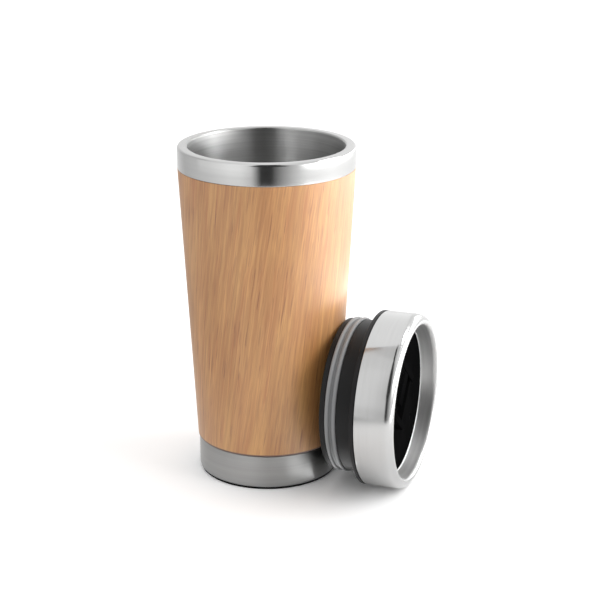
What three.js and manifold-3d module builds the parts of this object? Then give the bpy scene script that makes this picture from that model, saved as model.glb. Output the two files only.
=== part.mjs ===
// Travel mug: a double-walled steel tumbler in a bamboo sleeve, with its press-in lid stood beside it.
// Millimetres, +Z up. The mug's axis is Z and its foot stands on Z = 0.
// The lid is off: it stands on the edge of its steel ring, with its axis level along +X and its plug
// against the sleeve. Along the lid's own axis, 0 is the lower edge of the steel ring.
import * as THREE from "three";
import { mergeVertices } from "three/addons/utils/BufferGeometryUtils.js";
import Module from "manifold-3d";

// Fits shared by all pieces
const STEEL_WALL = 0.6;
const FIT_GAP = 0.3;

// Mug
const MUG_HEIGHT = 169.3;
const RIM_RADIUS = 44;
const LIP_WIDTH = 5.2;
const LIP_OUTER_ROUND = 1.2;
const LIP_INNER_ROUND = 0.9;
const BAND_HEIGHT = 10.8;
const MOUTH_DEPTH = 20;
const CUP_CORNER = 9;
const AIR_GAP = 3;
const SLEEVE_WALL = 2;
const SLEEVE_TONGUE = 4;
const SLEEVE_PROUD = 0.6;
const SLEEVE_CHAMFER = 0.5;
const BASE_RADIUS = 35.6;
const BASE_HEIGHT = 17.9;
const BASE_ROUND = 1.4;
const FLOOR_DISH = 4;

// Foot
const FOOT_INSET = 2.6;
const FOOT_THICKNESS = 1.8;
const FOOT_STAND = 1;

// Lid
const LEAN_GAP = 0.95;
const RING_HEIGHT = 19;
const RING_SHOULDER = 4;
const RING_LIP_WIDTH = 5.4;
const RING_LIP_ROUND = 1.2;
const RECESS_DEPTH = 8.6;
const RECESS_DRAFT = 1.1;
const FLANGE_THICKNESS = 2;
const FLANGE_ROUND = 0.5;
const LID_FLOOR = 2.2;
const PLUG_LENGTH = 17.1;
const PLUG_CLEARANCE = 0.6;
const PLUG_WALL = 3;
const PLUG_CHAMFER = 0.6;
const GASKET_WIDTH = 5.6;
const GASKET_GROOVE = 1.4;
const GASKET_SQUEEZE = 0.3;
const GASKET_LIP = 1.7;
const GASKET_WAIST = 0.9;
const PLUG_END_LIP = 2.6;

// Sip opening and its slider, along the lid's sip direction
const SIP_LENGTH = 8;
const SIP_WIDTH = 18;
const SIP_CORNER = 3;
const SIP_TURN = -130;
const VENT_INSET = 8.2;
const VENT_RADIUS = 1.5;
const SEAL_MARGIN = 1.6;
const SEAL_THICKNESS = 1.1;
const SLIDER_MARGIN = 2.5;
const SLIDER_SIDE_MARGIN = 3.4;
const SLIDER_LENGTH = 21;
const SLIDER_EDGE = 1.9;
const SLIDER_BLOCK = 1.8;
const SLIDER_BLOCK_INSET = 0.8;
const SLIDER_CORNER = 2.5;
const SLIDER_LIFT = 0.5;
const SLIDER_TRAVEL = 13;
const THUMB_LENGTH = 6;
const THUMB_WIDTH = 17;
const THUMB_HEIGHT = 1.8;
const THUMB_INSET = 2;
const RAIL_WALL = 2;
const RAIL_LIP = 1.5;
const RAIL_LIP_THICKNESS = 1.2;
const RAIL_END_STOP = 2;
const RAIL_RECESS_GAP = 0.5;

// Facets
const ROUND_FACETS = 48;
const ARC_STEPS = 2;

// Places that follow from the sizes
const QUARTER = Math.PI / 2;
const HALF = Math.PI;
const X_AXIS = new THREE.Vector3(1, 0, 0);
const Y_AXIS = new THREE.Vector3(0, 1, 0);
const Z_AXIS = new THREE.Vector3(0, 0, 1);
const MOUTH_RADIUS = RIM_RADIUS - LIP_WIDTH;
const BAND_BOTTOM = MUG_HEIGHT - BAND_HEIGHT;
const FOOT_RADIUS = BASE_RADIUS - FOOT_INSET;
const FOOT_TOP = FOOT_THICKNESS;
const BASE_DISH = FOOT_TOP + FIT_GAP;
const SHELL_BOTTOM = BASE_DISH + STEEL_WALL + FIT_GAP;
const SHELL_NECK_RADIUS = BASE_RADIUS - STEEL_WALL - FIT_GAP;
const SHELL_TOP_RADIUS = RIM_RADIUS - SLEEVE_WALL - FIT_GAP;
const SHELL_TOP = MUG_HEIGHT - STEEL_WALL - FIT_GAP;
const SLEEVE_BOTTOM = BASE_HEIGHT + FIT_GAP;
const SLEEVE_TOP = BAND_BOTTOM - FIT_GAP;
const SLEEVE_FOOT_RADIUS = BASE_RADIUS + SLEEVE_PROUD;
const CUP_FOOT_RADIUS = SHELL_NECK_RADIUS - STEEL_WALL - AIR_GAP;
const CUP_BOTTOM = SHELL_BOTTOM + STEEL_WALL + AIR_GAP;
const RING_RADIUS = RIM_RADIUS;
const RING_MOUTH_RADIUS = RING_RADIUS - RING_LIP_WIDTH;
const RECESS_FLOOR = RING_HEIGHT - RECESS_DEPTH;
const RECESS_RADIUS = RING_MOUTH_RADIUS - RECESS_DRAFT;
const FLANGE_TOP = -FIT_GAP;
const FLANGE_BOTTOM = FLANGE_TOP - FLANGE_THICKNESS;
const PLUG_END = FLANGE_BOTTOM - PLUG_LENGTH;
const PLUG_RADIUS = MOUTH_RADIUS - PLUG_CLEARANCE;
const PLUG_BORE = PLUG_RADIUS - PLUG_WALL;
const GROOVE_BOTTOM = PLUG_END + PLUG_END_LIP;
const GROOVE_TOP = GROOVE_BOTTOM + GASKET_WIDTH + 2 * FIT_GAP;
const VENT_DISTANCE = PLUG_BORE - VENT_INSET;
const SLIDER_WIDTH = SIP_WIDTH + 2 * SLIDER_SIDE_MARGIN;
const RAIL_SIDE = SLIDER_WIDTH / 2 + FIT_GAP;
const RAIL_REACH = RECESS_RADIUS - RAIL_RECESS_GAP;
const SLIDER_OUTER_END = Math.sqrt(RAIL_REACH ** 2 - (RAIL_SIDE + RAIL_WALL) ** 2);
const SLIDER_MIDDLE = SLIDER_OUTER_END - SLIDER_LENGTH / 2;
const SIP_DISTANCE = SLIDER_OUTER_END - SLIDER_MARGIN - SIP_LENGTH / 2;
const SLIDER_BOTTOM = RECESS_FLOOR + SLIDER_LIFT;
const SLIDER_EDGE_TOP = SLIDER_BOTTOM + SLIDER_EDGE;
const SLIDER_TOP = SLIDER_EDGE_TOP + SLIDER_BLOCK;
const RAIL_INNER_END = SLIDER_OUTER_END - SLIDER_LENGTH - SLIDER_TRAVEL - FIT_GAP;
const RAIL_START = RAIL_INNER_END - RAIL_END_STOP - RAIL_WALL / 2;
const RAIL_LIP_BOTTOM = SLIDER_EDGE_TOP + FIT_GAP;
const RAIL_TOP = RAIL_LIP_BOTTOM + RAIL_LIP_THICKNESS;
const RAIL_ROOT = RECESS_FLOOR - LID_FLOOR / 2;

const wasm = await Module();
wasm.setup();

/** Turns a closed geometry into a solid that can be joined and cut. */
function solid(geometry) {
  const bare = geometry.clone();
  bare.deleteAttribute("normal");
  bare.deleteAttribute("uv");
  const merged = mergeVertices(bare, 1e-4);
  const corners = Array.from(merged.index.array);
  const triangles = [];
  for (let i = 0; i < corners.length; i += 3) {
    const [a, b, c] = corners.slice(i, i + 3);
    if (a !== b && b !== c && c !== a) triangles.push(a, b, c);
  }
  const mesh = new wasm.Mesh({
    numProp: 3,
    vertProperties: merged.attributes.position.array,
    triVerts: new Uint32Array(triangles),
  });
  return new wasm.Manifold(mesh);
}

/** Turns a solid back into a geometry. */
function geometryOf(made) {
  const mesh = made.getMesh();
  const geometry = new THREE.BufferGeometry();
  geometry.setAttribute("position", new THREE.BufferAttribute(mesh.vertProperties, 3));
  geometry.setIndex(new THREE.BufferAttribute(mesh.triVerts, 1));
  geometry.computeVertexNormals();
  return geometry;
}

/** Revolves an outline of (radius, height) about Z. The outline runs up its outer side and down its inner side. */
function revolve(outline) {
  return new THREE.LatheGeometry(outline.getPoints(ARC_STEPS), ROUND_FACETS).rotateX(QUARTER);
}

/** A flat plate of the given shape between two heights. */
function plate(shape, bottom, top) {
  const settings = { depth: top - bottom, bevelEnabled: false, curveSegments: 3 };
  return new THREE.ExtrudeGeometry(shape, settings).translate(0, 0, bottom);
}

/** A rectangle with round corners, centred at x on the X axis. */
function roundedRectangle(x, length, width, corner) {
  const [left, right] = [x - length / 2, x + length / 2];
  const [low, high] = [-width / 2, width / 2];
  const shape = new THREE.Shape();
  shape.absarc(right - corner, low + corner, corner, -QUARTER, 0, false);
  shape.absarc(right - corner, high - corner, corner, 0, QUARTER, false);
  shape.absarc(left + corner, high - corner, corner, QUARTER, HALF, false);
  shape.absarc(left + corner, low + corner, corner, HALF, HALF + QUARTER, false);
  return shape;
}

/** The sleeve's outer radius at a height. */
function sleeveRadius(height) {
  const share = (height - SLEEVE_BOTTOM) / (SLEEVE_TOP - SLEEVE_BOTTOM);
  return THREE.MathUtils.lerp(SLEEVE_FOOT_RADIUS, RIM_RADIUS, THREE.MathUtils.clamp(share, 0, 1));
}

/** Steel liner: rounded bottom, tapered wall, straight mouth, flat lip and the band turned down outside. */
function innerCup() {
  const mouthBottom = MUG_HEIGHT - MOUTH_DEPTH;
  const cornerTop = CUP_BOTTOM + CUP_CORNER;
  const cornerAxis = CUP_FOOT_RADIUS - CUP_CORNER;
  const outerWall = MOUTH_RADIUS + STEEL_WALL;
  const bandInside = RIM_RADIUS - STEEL_WALL;
  const lipUnderside = MUG_HEIGHT - STEEL_WALL;
  const roundTop = MUG_HEIGHT - LIP_OUTER_ROUND;
  const roundInside = LIP_OUTER_ROUND - STEEL_WALL;
  const lipInnerTop = MUG_HEIGHT - LIP_INNER_ROUND;
  const outline = new THREE.Path();
  outline.moveTo(0, CUP_BOTTOM);
  outline.lineTo(cornerAxis, CUP_BOTTOM);
  outline.absarc(cornerAxis, cornerTop, CUP_CORNER, -QUARTER, 0, false);
  outline.lineTo(outerWall, mouthBottom);
  outline.lineTo(outerWall, lipUnderside);
  outline.absarc(RIM_RADIUS - LIP_OUTER_ROUND, roundTop, roundInside, QUARTER, 0, true);
  outline.lineTo(bandInside, BAND_BOTTOM);
  outline.lineTo(RIM_RADIUS, BAND_BOTTOM);
  outline.absarc(RIM_RADIUS - LIP_OUTER_ROUND, roundTop, LIP_OUTER_ROUND, 0, QUARTER, false);
  outline.absarc(MOUTH_RADIUS + LIP_INNER_ROUND, lipInnerTop, LIP_INNER_ROUND, QUARTER, HALF, false);
  outline.lineTo(MOUTH_RADIUS, mouthBottom);
  outline.absarc(cornerAxis, cornerTop, CUP_CORNER - STEEL_WALL, 0, -QUARTER, true);
  outline.lineTo(0, CUP_BOTTOM + STEEL_WALL);
  return revolve(outline);
}

/** Steel outer wall: a straight neck inside the base, a cone under the sleeve and a straight top inside the band. */
function outerShell() {
  const outline = new THREE.Path();
  outline.moveTo(SHELL_NECK_RADIUS - STEEL_WALL, SHELL_BOTTOM);
  outline.lineTo(SHELL_NECK_RADIUS, SHELL_BOTTOM);
  outline.lineTo(SHELL_NECK_RADIUS, SLEEVE_BOTTOM);
  outline.lineTo(SHELL_TOP_RADIUS, SLEEVE_TOP);
  outline.lineTo(SHELL_TOP_RADIUS, SHELL_TOP);
  outline.lineTo(SHELL_TOP_RADIUS - STEEL_WALL, SHELL_TOP);
  outline.lineTo(SHELL_TOP_RADIUS - STEEL_WALL, SLEEVE_TOP);
  outline.lineTo(SHELL_NECK_RADIUS - STEEL_WALL, SLEEVE_BOTTOM);
  outline.closePath();
  return revolve(outline);
}

/** Steel disc with an upturned edge that closes the bottom of the outer wall. */
function shellFloor() {
  const radius = SHELL_NECK_RADIUS - STEEL_WALL - FIT_GAP;
  const outline = new THREE.Path();
  outline.moveTo(0, SHELL_BOTTOM);
  outline.lineTo(radius, SHELL_BOTTOM);
  outline.lineTo(radius, SHELL_BOTTOM + FLOOR_DISH);
  outline.lineTo(radius - STEEL_WALL, SHELL_BOTTOM + FLOOR_DISH);
  outline.lineTo(radius - STEEL_WALL, SHELL_BOTTOM + STEEL_WALL);
  outline.lineTo(0, SHELL_BOTTOM + STEEL_WALL);
  return revolve(outline);
}

/** Bamboo sleeve: tapered outside, with a tongue at its top that goes up inside the band. */
function bambooSleeve() {
  const boreBottom = SHELL_NECK_RADIUS + FIT_GAP;
  const boreTop = SHELL_TOP_RADIUS + FIT_GAP;
  const tongueRadius = RIM_RADIUS - STEEL_WALL - FIT_GAP;
  const tongueTop = BAND_BOTTOM + SLEEVE_TONGUE;
  const outline = new THREE.Path();
  outline.moveTo(boreBottom, SLEEVE_BOTTOM);
  outline.lineTo(SLEEVE_FOOT_RADIUS - SLEEVE_CHAMFER, SLEEVE_BOTTOM);
  outline.lineTo(sleeveRadius(SLEEVE_BOTTOM + SLEEVE_CHAMFER), SLEEVE_BOTTOM + SLEEVE_CHAMFER);
  outline.lineTo(RIM_RADIUS, SLEEVE_TOP);
  outline.lineTo(tongueRadius, SLEEVE_TOP);
  outline.lineTo(tongueRadius, tongueTop);
  outline.lineTo(boreTop, tongueTop);
  outline.lineTo(boreTop, SLEEVE_TOP);
  outline.closePath();
  return revolve(outline);
}

/** Steel base: a cap with a rounded lower edge and a recess underneath for the foot pad. */
function baseCup() {
  const recess = FOOT_RADIUS + FIT_GAP;
  const inside = BASE_RADIUS - STEEL_WALL;
  const roundAxis = BASE_RADIUS - BASE_ROUND;
  const roundTop = FOOT_STAND + BASE_ROUND;
  const outline = new THREE.Path();
  outline.moveTo(0, BASE_DISH);
  outline.lineTo(recess, BASE_DISH);
  outline.lineTo(recess, FOOT_STAND);
  outline.absarc(roundAxis, roundTop, BASE_ROUND, -QUARTER, 0, false);
  outline.lineTo(BASE_RADIUS, BASE_HEIGHT);
  outline.lineTo(inside, BASE_HEIGHT);
  outline.absarc(roundAxis, roundTop, BASE_ROUND - STEEL_WALL, 0, -QUARTER, true);
  outline.lineTo(recess + STEEL_WALL, FOOT_STAND + STEEL_WALL);
  outline.lineTo(recess + STEEL_WALL, BASE_DISH + STEEL_WALL);
  outline.lineTo(0, BASE_DISH + STEEL_WALL);
  return revolve(outline);
}

/** Black disc that the mug stands on. */
function footPad() {
  const outline = new THREE.Path();
  outline.moveTo(0, 0);
  outline.lineTo(FOOT_RADIUS, 0);
  outline.lineTo(FOOT_RADIUS, FOOT_TOP);
  outline.lineTo(0, FOOT_TOP);
  return revolve(outline);
}

/** Steel ring of the lid: outer wall, wide shoulder, rolled lip and the inner wall that lines the recess. */
function lidRing() {
  const shoulderAxis = RING_RADIUS - RING_SHOULDER;
  const shoulderBase = RING_HEIGHT - RING_SHOULDER;
  const lipAxis = RING_MOUTH_RADIUS + RING_LIP_ROUND;
  const lipBase = RING_HEIGHT - RING_LIP_ROUND;
  const wallEnd = RECESS_FLOOR + FIT_GAP;
  const outline = new THREE.Path();
  outline.moveTo(RING_RADIUS - STEEL_WALL, 0);
  outline.lineTo(RING_RADIUS, 0);
  outline.absarc(shoulderAxis, shoulderBase, RING_SHOULDER, 0, QUARTER, false);
  outline.absarc(lipAxis, lipBase, RING_LIP_ROUND, QUARTER, HALF, false);
  outline.lineTo(RECESS_RADIUS, wallEnd);
  outline.lineTo(RECESS_RADIUS + STEEL_WALL, wallEnd);
  outline.absarc(lipAxis, lipBase, RING_LIP_ROUND - STEEL_WALL, HALF, QUARTER, true);
  outline.absarc(shoulderAxis, shoulderBase, RING_SHOULDER - STEEL_WALL, QUARTER, 0, true);
  outline.closePath();
  return revolve(outline);
}

/** One rail beside the slider: a wall with a lip over the slider's edge, rooted in the floor. Side is +1 or -1. */
function sliderRail(side) {
  const inner = side * RAIL_SIDE;
  const outer = side * (RAIL_SIDE + RAIL_WALL);
  const lip = side * (RAIL_SIDE - RAIL_LIP);
  const section = new THREE.Shape();
  section.moveTo(inner, RAIL_ROOT);
  section.lineTo(outer, RAIL_ROOT);
  section.lineTo(outer, RAIL_TOP);
  section.lineTo(lip, RAIL_TOP);
  section.lineTo(lip, RAIL_LIP_BOTTOM);
  section.lineTo(inner, RAIL_LIP_BOTTOM);
  const length = SLIDER_OUTER_END - RAIL_START;
  const rail = new THREE.ExtrudeGeometry(section, { depth: length, bevelEnabled: false });
  const alongX = new THREE.Matrix4().makeBasis(Y_AXIS, Z_AXIS, X_AXIS);
  return solid(rail.applyMatrix4(alongX).translate(RAIL_START, 0, 0));
}

/** Bar across the rails that stops the slider when it is open. */
function railStop() {
  const top = RAIL_LIP_BOTTOM + RAIL_LIP_THICKNESS / 2;
  const bar = new THREE.BoxGeometry(RAIL_END_STOP, 2 * RAIL_SIDE + RAIL_WALL, top - RAIL_ROOT);
  return solid(bar.translate(RAIL_INNER_END - RAIL_END_STOP / 2, 0, (top + RAIL_ROOT) / 2));
}

/** Black lid moulding: flange, plug with its gasket groove, wall inside the ring, and recess floor with its rails. */
function lidBody() {
  const upstandOuter = RING_RADIUS - STEEL_WALL - FIT_GAP;
  const upstandInner = RING_MOUTH_RADIUS + STEEL_WALL + FIT_GAP;
  const upstandTop = RING_HEIGHT - RING_SHOULDER;
  const grooveRadius = PLUG_RADIUS - GASKET_GROOVE;
  const ceiling = RECESS_FLOOR - LID_FLOOR;
  const roundAxis = RING_RADIUS - FLANGE_ROUND;
  const outline = new THREE.Path();
  outline.moveTo(0, ceiling);
  outline.lineTo(PLUG_BORE, ceiling);
  outline.lineTo(PLUG_BORE, PLUG_END);
  outline.lineTo(PLUG_RADIUS - PLUG_CHAMFER, PLUG_END);
  outline.lineTo(PLUG_RADIUS, PLUG_END + PLUG_CHAMFER);
  outline.lineTo(PLUG_RADIUS, GROOVE_BOTTOM);
  outline.lineTo(grooveRadius, GROOVE_BOTTOM);
  outline.lineTo(grooveRadius, GROOVE_TOP);
  outline.lineTo(PLUG_RADIUS, GROOVE_TOP);
  outline.lineTo(PLUG_RADIUS, FLANGE_BOTTOM);
  outline.absarc(roundAxis, FLANGE_BOTTOM + FLANGE_ROUND, FLANGE_ROUND, -QUARTER, 0, false);
  outline.lineTo(RING_RADIUS, FLANGE_TOP);
  outline.lineTo(upstandOuter, FLANGE_TOP);
  outline.lineTo(upstandOuter, upstandTop);
  outline.lineTo(upstandInner, upstandTop);
  outline.lineTo(upstandInner, RECESS_FLOOR);
  outline.lineTo(0, RECESS_FLOOR);
  const sip = roundedRectangle(SIP_DISTANCE, SIP_LENGTH, SIP_WIDTH, SIP_CORNER);
  const vent = new THREE.Shape().absarc(-VENT_DISTANCE, 0, VENT_RADIUS, 0, 2 * HALF, false);
  const [below, above] = [ceiling - LID_FLOOR, RECESS_FLOOR + LID_FLOOR];
  return geometryOf(
    solid(revolve(outline))
      .add(sliderRail(1))
      .add(sliderRail(-1))
      .add(railStop())
      .subtract(solid(plate(sip, below, above)))
      .subtract(solid(plate(vent, below, above))),
  );
}

/** Clear silicone ring in the plug's groove: two lips that stand past the mouth's radius, and a waist between them. */
function lidGasket() {
  const inside = PLUG_RADIUS - GASKET_GROOVE + FIT_GAP;
  const lips = MOUTH_RADIUS + GASKET_SQUEEZE;
  const waist = lips - GASKET_WAIST;
  const bottom = GROOVE_BOTTOM + FIT_GAP;
  const top = bottom + GASKET_WIDTH;
  const lipRound = GASKET_LIP / 2;
  const outline = new THREE.Path();
  outline.moveTo(inside, bottom);
  outline.lineTo(lips - lipRound, bottom);
  outline.absarc(lips - lipRound, bottom + lipRound, lipRound, -QUARTER, QUARTER, false);
  outline.lineTo(waist, bottom + GASKET_LIP);
  outline.lineTo(waist, top - GASKET_LIP);
  outline.absarc(lips - lipRound, top - lipRound, lipRound, -QUARTER, QUARTER, false);
  outline.lineTo(inside, top);
  outline.closePath();
  return revolve(outline);
}

/** Black slider: edges that run under the rails, a raised block between them, a thumb rest and a pocket for the seal. */
function drinkSlider() {
  const blockWidth = SLIDER_WIDTH - 2 * (RAIL_LIP + FIT_GAP);
  const thumbMiddle = SLIDER_OUTER_END - SLIDER_LENGTH + THUMB_INSET + THUMB_LENGTH / 2;
  const edges = roundedRectangle(SLIDER_MIDDLE, SLIDER_LENGTH, SLIDER_WIDTH, SLIDER_CORNER);
  const blockLength = SLIDER_LENGTH - 2 * SLIDER_BLOCK_INSET;
  const block = roundedRectangle(SLIDER_MIDDLE, blockLength, blockWidth, SLIDER_CORNER);
  const thumb = roundedRectangle(thumbMiddle, THUMB_LENGTH, THUMB_WIDTH, SLIDER_CORNER);
  const pocket = sealShape(FIT_GAP);
  const pocketTop = RECESS_FLOOR + FIT_GAP + SEAL_THICKNESS + FIT_GAP;
  const blockRoot = SLIDER_EDGE_TOP - SLIDER_EDGE / 3;
  const thumbRoot = SLIDER_TOP - SLIDER_BLOCK / 2;
  return geometryOf(
    solid(plate(edges, SLIDER_BOTTOM, SLIDER_EDGE_TOP))
      .add(solid(plate(block, blockRoot, SLIDER_TOP)))
      .add(solid(plate(thumb, thumbRoot, SLIDER_TOP + THUMB_HEIGHT)))
      .subtract(solid(plate(pocket, RECESS_FLOOR, pocketTop))),
  );
}

/** Outline of the slider's seal, grown by a clearance. */
function sealShape(clearance) {
  const grow = 2 * (SEAL_MARGIN + clearance);
  return roundedRectangle(SIP_DISTANCE, SIP_LENGTH + grow, SIP_WIDTH + grow, SIP_CORNER + SEAL_MARGIN + clearance);
}

/** Silicone pad that lies over the sip opening. */
function sliderSeal() {
  const bottom = RECESS_FLOOR + FIT_GAP;
  return plate(sealShape(0), bottom, bottom + SEAL_THICKNESS);
}

/** A named mesh with a finish of its own. */
function piece(name, geometry, color, roughness, metalness) {
  const mesh = new THREE.Mesh(geometry, new THREE.MeshStandardMaterial({ color, roughness, metalness }));
  mesh.name = name;
  return mesh;
}

const mug = new THREE.Group();
mug.add(
  piece("inner_cup", innerCup(), 0xc9cac8, 0.25, 1),
  piece("outer_shell", outerShell(), 0xb4b6b6, 0.4, 1),
  piece("shell_floor", shellFloor(), 0xb4b6b6, 0.45, 1),
  piece("bamboo_sleeve", bambooSleeve(), 0xc39a68, 0.55, 0),
  piece("base_cup", baseCup(), 0xb0b1b0, 0.35, 1),
  piece("foot_pad", footPad(), 0x1c1c1c, 0.8, 0),
);

const slider = new THREE.Group();
slider.add(
  piece("drink_slider", drinkSlider(), 0x1d1d1e, 0.5, 0),
  piece("slider_seal", sliderSeal(), 0xd9dad8, 0.45, 0),
);

const lidTop = new THREE.Group();
lidTop.add(piece("lid_body", lidBody(), 0x222223, 0.45, 0), slider);
lidTop.rotation.z = THREE.MathUtils.degToRad(SIP_TURN);

const lid = new THREE.Group();
lid.add(
  piece("lid_ring", lidRing(), 0xc6c7c6, 0.3, 1),
  piece("lid_gasket", lidGasket(), 0xc4c6c6, 0.4, 0),
  lidTop,
);
lid.rotation.y = QUARTER;
lid.position.set(sleeveRadius(RING_RADIUS + PLUG_RADIUS) + LEAN_GAP - PLUG_END, 0, RING_RADIUS);

const travelMug = new THREE.Group();
travelMug.name = "travel_mug";
travelMug.add(mug, lid);

export default travelMug;
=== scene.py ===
"""A bamboo travel mug with its lid stood beside it: the looks of every piece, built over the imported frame.

Round pieces are drawn in millimetres about their own axis, and become metres when they are put in place.
"""

import logging
import math
from collections.abc import Iterable, Sequence
from dataclasses import dataclass
from enum import Enum

import bmesh
import bpy
from bmesh.types import BMesh, BMFace, BMVert
from bpy.types import Material, NodeSocket, Object
from mathutils import Matrix, Vector


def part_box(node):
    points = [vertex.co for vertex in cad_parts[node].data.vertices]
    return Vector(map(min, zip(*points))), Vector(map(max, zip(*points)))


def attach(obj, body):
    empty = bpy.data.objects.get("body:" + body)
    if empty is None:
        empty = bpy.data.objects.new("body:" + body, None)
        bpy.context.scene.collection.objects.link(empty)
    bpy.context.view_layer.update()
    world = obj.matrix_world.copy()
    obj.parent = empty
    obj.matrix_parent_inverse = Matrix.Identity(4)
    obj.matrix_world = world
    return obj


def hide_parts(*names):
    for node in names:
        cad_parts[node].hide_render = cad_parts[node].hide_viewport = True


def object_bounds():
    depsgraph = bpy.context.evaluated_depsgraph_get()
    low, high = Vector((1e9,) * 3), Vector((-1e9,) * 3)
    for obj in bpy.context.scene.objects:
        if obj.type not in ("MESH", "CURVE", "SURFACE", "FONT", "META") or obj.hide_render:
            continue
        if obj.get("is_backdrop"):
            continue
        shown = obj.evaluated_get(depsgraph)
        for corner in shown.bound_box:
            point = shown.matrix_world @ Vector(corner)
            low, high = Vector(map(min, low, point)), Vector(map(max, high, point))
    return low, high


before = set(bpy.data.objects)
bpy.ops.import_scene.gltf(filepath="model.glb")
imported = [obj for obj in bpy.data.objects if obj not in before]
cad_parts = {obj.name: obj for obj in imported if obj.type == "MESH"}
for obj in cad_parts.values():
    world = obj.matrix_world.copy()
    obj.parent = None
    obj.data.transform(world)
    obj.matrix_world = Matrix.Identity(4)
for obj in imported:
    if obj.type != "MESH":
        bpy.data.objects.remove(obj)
cad_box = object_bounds()

LOG = logging.getLogger("travel_mug")
MM = 0.001
TURN_STEPS = 192
TENT_STEPS = 96
ARC_STEPS = 8
SHOULDER_STEPS = 24
CORNER_STEPS = 6
FINE_STEPS = 5
EDGE_STEPS = 4
SOFT_STEPS = 3
MERGE_DISTANCE = 1e-4
JOIN_DISTANCE = 0.04
SMOOTH_ANGLE = math.radians(32)
ANGLE_SOFT = 4.0
HEIGHT_SOFT = 0.02

Colour = tuple[float, ...]
Range = tuple[float, float]


class Axis(Enum):
    """The axes that round pieces are turned about."""

    MUG = "mug"
    LID = "lid"


class Join(Enum):
    """How a block meets the one that it is put to."""

    ADD = "UNION"
    CUT = "DIFFERENCE"


class Steel(Enum):
    """The faces of a steel piece, by finish."""

    POLISHED = 0
    TURNED = 1


class Black(Enum):
    """The faces of the lid's moulding, by finish."""

    SATIN = 0
    MATT = 1


def grey(shade: float) -> Colour:
    """A colour without hue."""
    return (shade,) * 3


def picked(items: Iterable[object], kind: type) -> list:
    """The items of one kind among those that an operator made."""
    return [item for item in items if isinstance(item, kind)]


class Outline:
    """Half of a round piece's section, drawn point by point and then turned about Z."""

    def __init__(self, radius: float, height: float) -> None:
        """Starts the outline at a distance from the axis and a height."""
        self.mesh = bmesh.new()
        self.tip = self.mesh.verts.new((radius, 0, height))

    def line(self, radius: float, height: float) -> "Outline":
        """Draws a straight stretch.

        Args:
            radius: Distance of its end from the axis.
            height: Height of its end.

        Returns:
            This outline.
        """
        self.tip = bmesh.ops.extrude_vert_indiv(self.mesh, verts=[self.tip])["verts"][0]
        self.tip.co = (radius, 0, height)
        return self

    def arc(self, radius: float, height: float, degrees: float, steps: int = ARC_STEPS) -> "Outline":
        """Draws a round stretch.

        Args:
            radius: Distance of the arc's centre from the axis.
            height: Height of the arc's centre.
            degrees: How far it turns, positive from outwards to upwards.
            steps: How many straight pieces stand for it.

        Returns:
            This outline.
        """
        made = bmesh.ops.spin(
            self.mesh, geom=[self.tip], cent=(radius, 0, height), axis=(0, -1, 0),
            angle=math.radians(degrees), steps=steps,
        )
        self.tip = picked(made["geom_last"], BMVert)[0]
        return self

    def oval(
        self, radius: float, height: float, wide: float, tall: float, start: float, end: float,
        steps: int = ARC_STEPS,
    ) -> "Outline":
        """Draws part of an oval.

        Args:
            radius: Distance of the oval's middle from the axis.
            height: Height of the oval's middle.
            wide: Half of its width.
            tall: Half of its height.
            start: Where it starts, in degrees from outwards to upwards.
            end: Where it ends.
            steps: How many straight pieces stand for it.

        Returns:
            This outline.
        """
        for step in range(1, steps + 1):
            turn = math.radians(start + (end - start) * step / steps)
            self.line(radius + wide * math.cos(turn), height + tall * math.sin(turn))
        return self

    def turned(self) -> BMesh:
        """Turns the outline once round Z.

        Returns:
            The closed round piece, its faces pointing out.
        """
        bmesh.ops.spin(
            self.mesh, geom=self.mesh.verts[:] + self.mesh.edges[:], cent=(0, 0, 0), axis=(0, 0, 1),
            angle=math.tau, steps=TURN_STEPS, use_merge=True,
        )
        return closed(self.mesh)


@dataclass(frozen=True)
class Plate:
    """One level of a stacked block: the middle, length and width of its outline, and its height."""

    middle: float
    length: float
    width: float
    height: float


def closed(mesh: BMesh) -> BMesh:
    """Merges the points of a piece that meet and points every face out.

    Args:
        mesh: The piece.

    Returns:
        The same piece.
    """
    bmesh.ops.remove_doubles(mesh, verts=mesh.verts, dist=MERGE_DISTANCE)
    bmesh.ops.recalc_face_normals(mesh, faces=mesh.faces)
    return mesh


def level(width: float, depth: float, place: Matrix) -> BMesh:
    """Builds a level card.

    Args:
        width: Its length along X.
        depth: Its length along Y.
        place: Where its middle goes.

    Returns:
        The card.
    """
    mesh = bmesh.new()
    bmesh.ops.create_grid(mesh, x_segments=1, y_segments=1, size=0.5)
    bmesh.ops.scale(mesh, vec=(width, depth, 1), verts=mesh.verts)
    bmesh.ops.transform(mesh, matrix=place, verts=mesh.verts)
    return mesh


def stacked(plates: Sequence[Plate], corner: float) -> BMesh:
    """Builds a block whose rounded outline passes through each plate in turn.

    Args:
        plates: The levels, from one end of the skin to the other.
        corner: Radius of the first plate's corners.

    Returns:
        The closed block.
    """
    first = plates[0]
    mesh = level(first.length, first.width, Matrix.Translation((first.middle, 0, first.height)))
    bmesh.ops.bevel(
        mesh, geom=mesh.verts[:], offset=corner, segments=CORNER_STEPS, profile=0.5, affect="VERTICES",
        material=-1,
    )
    top = mesh.faces[:][0]
    for lower, upper in zip(plates, plates[1:]):
        made = bmesh.ops.extrude_face_region(mesh, geom=[top])
        if lower is not first:
            bmesh.ops.delete(mesh, geom=[top], context="FACES_ONLY")
        top = picked(made["geom"], BMFace)[0]
        about = Matrix.Translation((-lower.middle, 0, -lower.height))
        grow = (upper.length / lower.length, upper.width / lower.width, 1)
        bmesh.ops.scale(mesh, vec=grow, space=about, verts=top.verts)
        shift = (upper.middle - lower.middle, 0, upper.height - lower.height)
        bmesh.ops.translate(mesh, vec=shift, verts=top.verts)
    return closed(mesh)


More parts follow.
